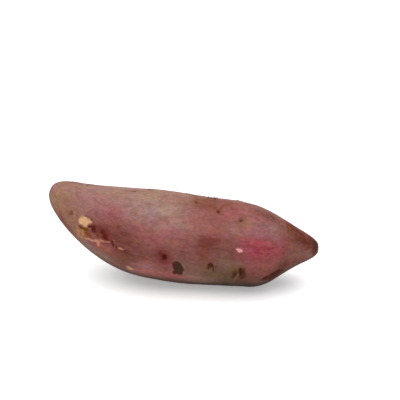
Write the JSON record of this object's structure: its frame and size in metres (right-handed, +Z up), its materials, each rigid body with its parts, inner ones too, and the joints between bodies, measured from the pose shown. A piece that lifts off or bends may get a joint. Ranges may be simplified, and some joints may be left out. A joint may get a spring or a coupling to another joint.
{
  "type": "purple sweet potato",
  "caption": "Whole raw sweet potato with purple-red skin: a thick body with shallow eyes, a raised blunt stem end and a thin root tip, lying on its belly.",
  "frame": {"origin": "on the surface that the root lies on, under the middle of its box", "axes": "+X along the root, from the blunt stem end to the thin tip; +Z up; -Y is the side that faces the viewer"},
  "size_m": [0.1718, 0.0592, 0.0623],
  "materials": {
    "skin": "dry, finely wrinkled root skin, dusty rose to magenta, with brown eyes and a few scrapes"
  },
  "bodies": {
    "root": {"tuber": "skin"}
  },
  "joints": []
}
